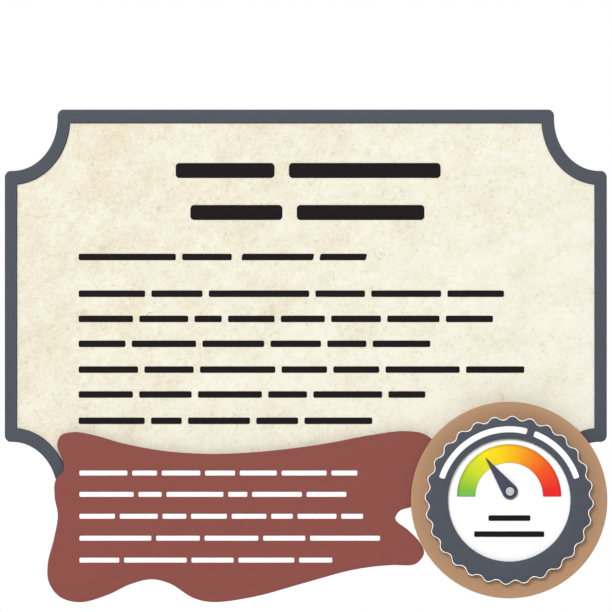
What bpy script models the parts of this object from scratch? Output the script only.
"""A layered, wall-mounted information sign, about 602 x 492 x 54 mm, for Blender 4.5.

A contour-cut backing board with a raised border and a parchment face carries a wavy maroon
plaque and a round badge. The badge has a scalloped ring, a white dial with a sunk gauge band,
and a pointer that turns on a pivot pin. Behind them are the hanging cleats, three upright
channel rails, and the stand-offs that carry what overhangs the board.

Units are metres. The front faces -Y, +X is to the viewer's right, +Z is up. The wall is the
plane y = 0, and the origin is the centre of the wall cleat's back face. Outlines are written
as (x, z) about the panel's centre, the badge's centre or the pointer's pivot, and a depth is
the distance in front of the wall.
"""

import math

import bmesh
import bpy

# Clearance left between pieces that touch
GAP = 0.0003

# Panel: the board, its border and its face share one notched outline
PANEL_WIDTH = 0.6019
PANEL_HEIGHT = 0.3936
BORDER_SIDE = 0.01205
BORDER_TOP = 0.0134
NOTCH_IN_X = 0.0074
NOTCH_IN_Z = 0.0090
NOTCH_RADIUS_X = 0.0453
NOTCH_RADIUS_Z = 0.0523
INNER_NOTCH_RADIUS_X = 0.0577
INNER_NOTCH_RADIUS_Z = 0.0659
CORNER_RADIUS_X = 0.0060
CORNER_RADIUS_Z = 0.0067

# Layer thicknesses, standard laminate sheets
BOARD_THICK = 0.0127
FACE_THICK = 0.0015
BORDER_THICK = 0.0040
PLAQUE_THICK = 0.0064
DISC_THICK = 0.0064
DIAL_THICK = 0.0032
RING_THICK = 0.0032
BAND_THICK = 0.0009
EDGE_BREAK = 0.0006
FINE_EDGE_BREAK = 0.0003

# Badge, measured from the panel's centre
BADGE_X = 0.2030
BADGE_Z = -0.1934
DISC_RADIUS = 0.0981
SCALLOPS = 28
SCALLOP_RADIUS = 0.08206
SCALLOP_HEIGHT = 0.0019
SCALLOP_TURN = math.radians(2.26)
KEYLINE = 0.0004
DIAL_OPENING_RADIUS = 0.0612

# Gauge, measured from the badge's centre
BAND_X = 0.0000
BAND_Z = 0.0037
BAND_RADIUS = 0.0519
BAND_INNER_RADIUS = 0.0339
BAND_FLOOR_DEPTH = 0.0022
PIVOT_X = 0.0007
PIVOT_Z = 0.0088
POINTER_LENGTH = 0.0417
POINTER_ANGLE = math.radians(125.8)
POINTER_THICK = 0.0016
POINTER_TIP_RADIUS = 0.0003
HUB_RADIUS = 0.0078
HUB_BORE_RADIUS = 0.0025
PIN_FLANGE_RADIUS = 0.0060
PIN_FLANGE_THICK = 0.0008
PIN_RADIUS = 0.0022
PIN_CAP_RADIUS = 0.0043
PIN_CAP_THICK = 0.0015
PIN_CAP_DOME = 0.0008

# Hanging hardware
CLEAT_DEPTH = 0.0150
CLEAT_LENGTH = 0.3600
CLEAT_LIFT = 0.0006
WALL_CLEAT_HEIGHT = 0.0360
SIGN_CLEAT_TOP = 0.0600
CLEAT_ABOVE_CENTRE = 0.0950
RAIL_WIDTH = 0.0300
RAIL_WALL = 0.0025
RAIL_TOP = 0.0550
STANDOFF_RADIUS = 0.0110
SPACER_RADIUS = 0.0080

# Rails from the viewer's left to right: name, x, lower end and the stand-off's z, about the
# panel's centre. The first two carry the plaque, the last carries the badge.
RAILS = (
    ("left", -0.1500, -0.2620, -0.2360),
    ("middle", 0.0450, -0.2500, -0.2260),
    ("right", 0.2030, -0.2750, -0.2450),
)
PLAQUE_SPACERS = ((-0.1560, -0.1620), (0.0440, -0.1600))
BADGE_SPACERS = ((0.1640, -0.1340), (0.2290, -0.1390))

# Steps round each curve
NOTCH_STEPS = 16
CORNER_STEPS = 5
STEPS_PER_SCALLOP = 8
CIRCLE_STEPS = 96
BAND_STEPS = 36
SMALL_ROUND_STEPS = 24
TIP_STEPS = 4
DOME_STEPS = 4
PLAQUE_STEPS_PER_POINT = 3

# Edges that turn by less than this are shaded smooth
SMOOTH_BELOW = math.radians(30)

# Points on the plaque's edge about the panel's centre, clockwise from the upper left corner
PLAQUE_EDGE = (
    (-0.2482, -0.1371), (-0.2443, -0.1286), (-0.2303, -0.1256), (-0.2088, -0.1294),
    (-0.1819, -0.1371), (-0.1413, -0.1445), (-0.0963, -0.1474), (-0.0558, -0.1460),
    (-0.0158, -0.1421), (0.0242, -0.1363), (0.0647, -0.1286), (0.0987, -0.1246),
    (0.1196, -0.1281), (0.1317, -0.1401), (0.1342, -0.1556), (0.1272, -0.1776),
    (0.1082, -0.1990), (0.0937, -0.2045), (0.0896, -0.2126), (0.1018, -0.2231),
    (0.1139, -0.2356), (0.1181, -0.2466), (0.1097, -0.2573), (0.0857, -0.2585),
    (0.0662, -0.2602), (0.0430, -0.2641), (-0.0041, -0.2771), (-0.0513, -0.2900),
    (-0.0933, -0.2954), (-0.1128, -0.2911), (-0.1353, -0.2772), (-0.1543, -0.2727),
    (-0.1758, -0.2778), (-0.1983, -0.2884), (-0.2258, -0.2956), (-0.2459, -0.2901),
    (-0.2569, -0.2751), (-0.2577, -0.2561), (-0.2518, -0.2326), (-0.2478, -0.2086),
    (-0.2509, -0.1906), (-0.2502, -0.1741), (-0.2419, -0.1636), (-0.2434, -0.1531),
    (-0.2469, -0.1446),
)

# Depths of each layer's back and front in front of the wall
BOARD_BACK = CLEAT_DEPTH + GAP
BOARD_FRONT = BOARD_BACK + BOARD_THICK
FACE_BACK = BOARD_FRONT + GAP
FACE_FRONT = FACE_BACK + FACE_THICK
BORDER_FRONT = FACE_BACK + BORDER_THICK
PLAQUE_BACK = BORDER_FRONT + GAP
PLAQUE_FRONT = PLAQUE_BACK + PLAQUE_THICK
DISC_BACK = PLAQUE_FRONT + GAP
DISC_FRONT = DISC_BACK + DISC_THICK
DIAL_BACK = DISC_FRONT + GAP
DIAL_FRONT = DIAL_BACK + DIAL_THICK
BAND_FLOOR = DIAL_FRONT - BAND_FLOOR_DEPTH
RING_BACK = DIAL_FRONT + GAP
RING_FRONT = RING_BACK + RING_THICK
PIN_BACK = DIAL_FRONT + GAP
PIN_FLANGE_FRONT = PIN_BACK + PIN_FLANGE_THICK
POINTER_BACK = PIN_FLANGE_FRONT + GAP
POINTER_FRONT = POINTER_BACK + POINTER_THICK
PIN_CAP_BACK = POINTER_FRONT + GAP
PIN_CAP_FRONT = PIN_CAP_BACK + PIN_CAP_THICK


# Outlines


def ellipse_arc(centre, radius_x, radius_z, start_deg, end_deg, steps):
    """Points on an elliptical arc, both ends included, angles anticlockwise from +X."""
    points = []
    for i in range(steps + 1):
        angle = math.radians(start_deg + (end_deg - start_deg) * i / steps)
        x = centre[0] + radius_x * math.cos(angle)
        z = centre[1] + radius_z * math.sin(angle)
        points.append((x, z))
    return points


def circle(radius, steps=CIRCLE_STEPS):
    """A full circle about (0, 0), with no point given twice."""
    return ellipse_arc((0, 0), radius, radius, 0, 360, steps)[:-1]


def mirrored_to_four(quarter):
    """The upper left quarter of an outline, mirrored round into the whole of it."""
    upper_right = [(-x, z) for x, z in reversed(quarter)]
    lower_right = [(-x, -z) for x, z in quarter]
    lower_left = [(x, -z) for x, z in reversed(quarter)]
    return quarter + upper_right + lower_right + lower_left


def notch_centre():
    """Centre of the upper left notch."""
    return (-PANEL_WIDTH / 2 + NOTCH_IN_X, PANEL_HEIGHT / 2 - NOTCH_IN_Z)


def panel_outline(inset=0.0):
    """The board's notched outline with rounded corners, moved inwards by inset."""
    nx, nz = notch_centre()
    side = (-PANEL_WIDTH / 2 + CORNER_RADIUS_X, nz - NOTCH_RADIUS_Z - CORNER_RADIUS_Z)
    top = (nx + NOTCH_RADIUS_X + CORNER_RADIUS_X, PANEL_HEIGHT / 2 - CORNER_RADIUS_Z)
    corner = (CORNER_RADIUS_X - inset, CORNER_RADIUS_Z - inset)
    notch = (NOTCH_RADIUS_X + inset, NOTCH_RADIUS_Z + inset)
    quarter = ellipse_arc(side, *corner, 180, 90, CORNER_STEPS)
    quarter += ellipse_arc((nx, nz), *notch, -90, 0, NOTCH_STEPS)
    quarter += ellipse_arc(top, *corner, 180, 90, CORNER_STEPS)
    return mirrored_to_four(quarter)


def face_outline(inset=0.0):
    """The border's sharp-cornered inner outline, moved inwards by inset."""
    nx, nz = notch_centre()
    left = -PANEL_WIDTH / 2 + BORDER_SIDE + inset
    top = PANEL_HEIGHT / 2 - BORDER_TOP - inset
    radius_x = INNER_NOTCH_RADIUS_X + inset
    radius_z = INNER_NOTCH_RADIUS_Z + inset
    start = -math.degrees(math.acos((left - nx) / radius_x))
    end = math.degrees(math.asin((top - nz) / radius_z))
    return mirrored_to_four(ellipse_arc((nx, nz), radius_x, radius_z, start, end, NOTCH_STEPS))


def scallop_outline(offset=0.0):
    """The badge's scalloped edge, moved outwards by offset."""
    points = []
    steps = SCALLOPS * STEPS_PER_SCALLOP
    for i in range(steps):
        angle = math.tau * i / steps
        wave = math.cos(SCALLOPS * (angle + SCALLOP_TURN))
        radius = SCALLOP_RADIUS + offset + SCALLOP_HEIGHT * wave
        points.append((radius * math.cos(angle), radius * math.sin(angle)))
    return points


def band_outline(grow=0.0):
    """The gauge's half ring with its flat ends level, made larger all round by grow."""
    outer = BAND_RADIUS + grow
    inner = BAND_INNER_RADIUS - grow
    outer_dip = -math.degrees(math.asin(grow / outer))
    inner_dip = -math.degrees(math.asin(grow / inner))
    centre = (BAND_X, BAND_Z)
    points = ellipse_arc(centre, outer, outer, 180 - outer_dip, outer_dip, BAND_STEPS)
    points += ellipse_arc(centre, inner, inner, inner_dip, 180 - inner_dip, BAND_STEPS)
    return points


def pointer_outline(inset=0.0):
    """A tapered hand along +X: the hub's round end and a fine tip, joined by tangents.

    The tip takes half of the inset, so that it never vanishes.
    """
    hub = HUB_RADIUS - inset
    tip = POINTER_TIP_RADIUS - inset / 2
    reach = POINTER_LENGTH - POINTER_TIP_RADIUS
    tangent = math.degrees(math.acos((hub - tip) / reach))
    points = ellipse_arc((reach, 0), tip, tip, -tangent, tangent, TIP_STEPS)
    points += ellipse_arc((0, 0), hub, hub, tangent, 360 - tangent, SMALL_ROUND_STEPS)
    return points


def between(a, b, from_knot, to_knot, knot):
    """The point at knot on the line through a and b, which lie at from_knot and to_knot."""
    share = (knot - from_knot) / (to_knot - from_knot)
    return (a[0] + (b[0] - a[0]) * share, a[1] + (b[1] - a[1]) * share)


def closed_curve(points, steps):
    """A smooth closed curve through points, as a centripetal Catmull-Rom spline."""
    smooth = []
    count = len(points)
    for i in range(count):
        near = [points[(i + k) % count] for k in (-1, 0, 1, 2)]
        knots = [0.0]
        for a, b in zip(near, near[1:]):
            knots.append(knots[-1] + math.sqrt(math.dist(a, b)))
        for step in range(steps):
            t = knots[1] + (knots[2] - knots[1]) * step / steps
            first = [between(near[k], near[k + 1], knots[k], knots[k + 1], t) for k in range(3)]
            second = [between(first[k], first[k + 1], knots[k], knots[k + 2], t) for k in range(2)]
            smooth.append(between(second[0], second[1], knots[1], knots[2], t))
    return smooth


def moved_inwards(points, inset):
    """A clockwise outline with each point moved inwards along its corner's middle line."""
    moved = []
    count = len(points)
    for i, (x, z) in enumerate(points):
        before = points[i - 1]
        after = points[(i + 1) % count]
        along_x = after[0] - before[0]
        along_z = after[1] - before[1]
        length = math.hypot(along_x, along_z)
        moved.append((x + inset * along_z / length, z - inset * along_x / length))
    return moved


# Materials


def linear(srgb):
    """The linear value of one sRGB channel given as 0 to 255."""
    value = srgb / 255
    return value / 12.92 if value <= 0.04045 else ((value + 0.055) / 1.055) ** 2.4


def make_material(name, colour, roughness, metallic=0.0):
    """A Principled material from an sRGB colour."""
    material = bpy.data.materials.new(name)
    material.use_nodes = True
    shader = material.node_tree.nodes["Principled BSDF"]
    shader.inputs["Base Color"].default_value = (*map(linear, colour), 1.0)
    shader.inputs["Roughness"].default_value = roughness
    shader.inputs["Metallic"].default_value = metallic
    return material


# Solids


def finish_mesh(name, bm, material, parent, place):
    """Turns closed bmesh faces outwards and links the result as a named object."""
    bmesh.ops.recalc_face_normals(bm, faces=bm.faces)
    mesh = bpy.data.meshes.new(name)
    bm.to_mesh(mesh)
    bm.free()
    mesh.shade_smooth()
    mesh.set_sharp_from_angle(angle=SMOOTH_BELOW)
    mesh.materials.append(material)
    piece = bpy.data.objects.new(name, mesh)
    piece.parent = parent
    piece.location = place
    bpy.context.scene.collection.objects.link(piece)
    return piece


def layered_solid(name, walls, caps, material, parent, place=(0, 0, 0)):
    """A closed solid made of walls and caps.

    A wall is a list of (outline, depth) rows with equal numbers of points, joined by quads.
    A cap is a list of (wall, row) picks that bound one flat face, an opening's edge included.
    """
    bm = bmesh.new()
    rows_of = []
    for wall in walls:
        rows = [[bm.verts.new((x, -depth, z)) for x, z in outline] for outline, depth in wall]
        for back, front in zip(rows, rows[1:]):
            for i in range(len(back)):
                bm.faces.new((back[i - 1], back[i], front[i], front[i - 1]))
        rows_of.append(rows)
    for cap in caps:
        edges = []
        for wall, row in cap:
            ring = rows_of[wall][row]
            edges += [bm.edges.get((ring[i - 1], ring[i])) for i in range(len(ring))]
        bmesh.ops.triangle_fill(bm, edges=edges, use_beauty=True)
    return finish_mesh(name, bm, material, parent, place)


def turned_solid(name, profile, steps, material, parent, place=(0, 0, 0)):
    """A solid turned about the front-to-back axis from (radius, depth) steps, back to front."""
    wall = [(circle(radius, steps), depth) for radius, depth in profile]
    return layered_solid(name, [wall], [[(0, 0)], [(0, -1)]], material, parent, place)


def bar(name, profile, length, material, parent, place=(0, 0, 0)):
    """A straight bar along X from a closed profile of (depth, z) corners."""
    bm = bmesh.new()
    near = [bm.verts.new((-length / 2, -depth, z)) for depth, z in profile]
    face = bm.faces.new(near)
    grown = bmesh.ops.extrude_face_region(bm, geom=[face])["geom"]
    far = [item for item in grown if isinstance(item, bmesh.types.BMVert)]
    bmesh.ops.translate(bm, verts=far, vec=(length, 0, 0))
    return finish_mesh(name, bm, material, parent, place)


# Sub-parts


def make_panel(slate, parchment, parent):
    """The board, the raised border on its front edge and the face inside the border."""
    edge = EDGE_BREAK
    layered_solid(
        "backing_board",
        [[
            (panel_outline(edge), BOARD_BACK),
            (panel_outline(), BOARD_BACK + edge),
            (panel_outline(), BOARD_FRONT),
        ]],
        [[(0, 0)], [(0, -1)]],
        slate, parent,
    )
    layered_solid(
        "raised_border",
        [
            [
                (panel_outline(), FACE_BACK),
                (panel_outline(), BORDER_FRONT - edge),
                (panel_outline(edge), BORDER_FRONT),
            ],
            [
                (face_outline(), FACE_BACK),
                (face_outline(), BORDER_FRONT - edge),
                (face_outline(-edge), BORDER_FRONT),
            ],
        ],
        [[(0, 0), (1, 0)], [(0, -1), (1, -1)]],
        slate, parent,
    )
    layered_solid(
        "parchment_face",
        [[(face_outline(GAP), FACE_BACK), (face_outline(GAP), FACE_FRONT)]],
        [[(0, 0)], [(0, -1)]],
        parchment, parent,
    )


def make_plaque(maroon, parent):
    """The wavy plaque that overlaps the panel's lower edge."""
    outline = closed_curve(PLAQUE_EDGE, PLAQUE_STEPS_PER_POINT)
    layered_solid(
        "maroon_plaque",
        [[
            (outline, PLAQUE_BACK),
            (outline, PLAQUE_FRONT - EDGE_BREAK),
            (moved_inwards(outline, EDGE_BREAK), PLAQUE_FRONT),
        ]],
        [[(0, 0)], [(0, -1)]],
        maroon, parent,
    )


def make_badge(tan, white, slate, parent):
    """The round disc, the white dial with its sunk gauge, and the scalloped ring on it."""
    turned_solid(
        "badge_disc",
        [
            (DISC_RADIUS, DISC_BACK),
            (DISC_RADIUS, DISC_FRONT - EDGE_BREAK),
            (DISC_RADIUS - EDGE_BREAK, DISC_FRONT),
        ],
        CIRCLE_STEPS, tan, parent,
    )
    layered_solid(
        "dial_plate",
        [
            [(scallop_outline(KEYLINE), DIAL_BACK), (scallop_outline(KEYLINE), DIAL_FRONT)],
            [(band_outline(GAP), BAND_FLOOR), (band_outline(GAP), DIAL_FRONT)],
        ],
        [[(0, 0)], [(0, 1), (1, 1)], [(1, 0)]],
        white, parent,
    )
    fine = FINE_EDGE_BREAK
    layered_solid(
        "scalloped_ring",
        [
            [
                (scallop_outline(-KEYLINE), RING_BACK),
                (scallop_outline(-KEYLINE), RING_FRONT - fine),
                (scallop_outline(-KEYLINE - fine), RING_FRONT),
            ],
            [
                (circle(DIAL_OPENING_RADIUS), RING_BACK),
                (circle(DIAL_OPENING_RADIUS), RING_FRONT - fine),
                (circle(DIAL_OPENING_RADIUS + fine), RING_FRONT),
            ],
        ],
        [[(0, 0), (1, 0)], [(0, -1), (1, -1)]],
        slate, parent,
    )


def make_gauge(band_colour, hand_colour, pin_colour, parent):
    """The coloured band in its groove, and the pointer on its headed pin."""
    band_back = BAND_FLOOR + GAP
    layered_solid(
        "gauge_band",
        [[(band_outline(), band_back), (band_outline(), band_back + BAND_THICK)]],
        [[(0, 0)], [(0, -1)]],
        band_colour, parent,
    )
    pin = [
        (PIN_FLANGE_RADIUS, PIN_BACK),
        (PIN_FLANGE_RADIUS, PIN_FLANGE_FRONT),
        (PIN_RADIUS, PIN_FLANGE_FRONT),
        (PIN_RADIUS, PIN_CAP_BACK),
        (PIN_CAP_RADIUS, PIN_CAP_BACK),
    ]
    for step in range(DOME_STEPS):
        angle = math.pi / 2 * step / DOME_STEPS
        rise = PIN_CAP_DOME * math.sin(angle)
        pin.append((PIN_CAP_RADIUS * math.cos(angle), PIN_CAP_FRONT - PIN_CAP_DOME + rise))
    turned_solid(
        "pivot_pin", pin, SMALL_ROUND_STEPS, pin_colour, parent, (PIVOT_X, 0, PIVOT_Z),
    )
    fine = FINE_EDGE_BREAK
    bore = circle(HUB_BORE_RADIUS, SMALL_ROUND_STEPS)
    pointer = layered_solid(
        "pointer",
        [
            [
                (pointer_outline(), 0),
                (pointer_outline(), POINTER_THICK - fine),
                (pointer_outline(fine), POINTER_THICK),
            ],
            [(bore, 0), (bore, POINTER_THICK)],
        ],
        [[(0, 0), (1, 0)], [(0, -1), (1, -1)]],
        hand_colour, parent, (PIVOT_X, -POINTER_BACK, PIVOT_Z),
    )
    pointer.rotation_euler = (0, -POINTER_ANGLE, 0)


def make_cleats(aluminium, parent):
    """Two interlocking bars with sloping edges: one on the wall, one on the board."""
    lift = CLEAT_LIFT
    shoulder = WALL_CLEAT_HEIGHT / 2
    front = CLEAT_DEPTH - lift
    bar(
        "wall_cleat",
        [(0, -shoulder), (front, -shoulder), (front, shoulder + front), (0, shoulder)],
        CLEAT_LENGTH, aluminium, parent,
    )
    slope_gap = GAP * math.sqrt(2)
    low = shoulder + slope_gap
    bar(
        "sign_cleat",
        [
            (lift, low + lift),
            (CLEAT_DEPTH, low + CLEAT_DEPTH),
            (CLEAT_DEPTH, SIGN_CLEAT_TOP),
            (lift, SIGN_CLEAT_TOP),
        ],
        CLEAT_LENGTH, aluminium, parent,
    )


def make_rails(aluminium, parent):
    """Upright channels between the wall and the board, with a stand-off near each lower end."""
    half = RAIL_WIDTH / 2
    inner = half - RAIL_WALL
    web = CLEAT_DEPTH - RAIL_WALL
    channel = [
        (0, -half), (CLEAT_DEPTH, -half), (CLEAT_DEPTH, half), (0, half),
        (0, inner), (web, inner), (web, -inner), (0, -inner),
    ]
    for name, x, lower_end, standoff_z in RAILS:
        length = RAIL_TOP - lower_end
        middle = (RAIL_TOP + lower_end) / 2
        rail = bar(f"{name}_rail", channel, length, aluminium, parent, (x, 0, middle))
        rail.rotation_euler = (0, math.pi / 2, 0)
        carried = DISC_BACK if name == "right" else PLAQUE_BACK
        turned_solid(
            f"{name}_standoff",
            [(STANDOFF_RADIUS, CLEAT_DEPTH + GAP), (STANDOFF_RADIUS, carried - GAP)],
            SMALL_ROUND_STEPS, aluminium, parent, (x, 0, standoff_z),
        )


def make_spacers(black, parent):
    """Round pads that fill the space between the face and the plaque or badge over it."""
    groups = (
        ("plaque_spacer", PLAQUE_SPACERS, PLAQUE_BACK - GAP),
        ("badge_spacer", BADGE_SPACERS, DISC_BACK - GAP),
    )
    for name, places, front in groups:
        for number, (x, z) in enumerate(places, start=1):
            turned_solid(
                f"{name}_{number}", [(SPACER_RADIUS, FACE_FRONT + GAP), (SPACER_RADIUS, front)],
                SMALL_ROUND_STEPS, black, parent, (x, 0, z),
            )


def make_anchor(name, place, parent=None):
    """An empty that carries the pieces measured from it."""
    anchor = bpy.data.objects.new(name, None)
    anchor.parent = parent
    anchor.location = place
    bpy.context.scene.collection.objects.link(anchor)
    return anchor


def main():
    for leftover in list(bpy.data.objects):
        bpy.data.objects.remove(leftover)

    slate = make_material("slate_laminate", (85, 89, 98), 0.45)
    parchment = make_material("parchment_print", (246, 242, 222), 0.55)
    maroon = make_material("maroon_laminate", (144, 84, 77), 0.45)
    tan = make_material("tan_laminate", (185, 146, 112), 0.50)
    white = make_material("white_laminate", (250, 250, 250), 0.40)
    band = make_material("gauge_colours", (250, 195, 40), 0.40)
    hand = make_material("pointer_enamel", (78, 80, 97), 0.35)
    pin = make_material("pin_enamel", (203, 203, 203), 0.30)
    aluminium = make_material("mill_aluminium", (190, 192, 195), 0.35, metallic=1.0)
    black = make_material("black_polyethylene", (38, 38, 40), 0.60)

    wall = make_anchor("wall_point", (0, 0, 0))
    panel = make_anchor("panel_centre", (0, 0, -CLEAT_ABOVE_CENTRE), wall)
    badge = make_anchor("badge_centre", (BADGE_X, 0, BADGE_Z), panel)

    make_cleats(aluminium, wall)
    make_rails(aluminium, panel)
    make_spacers(black, panel)
    make_panel(slate, parchment, panel)
    make_plaque(maroon, panel)
    make_badge(tan, white, slate, badge)
    make_gauge(band, hand, pin, badge)


main()
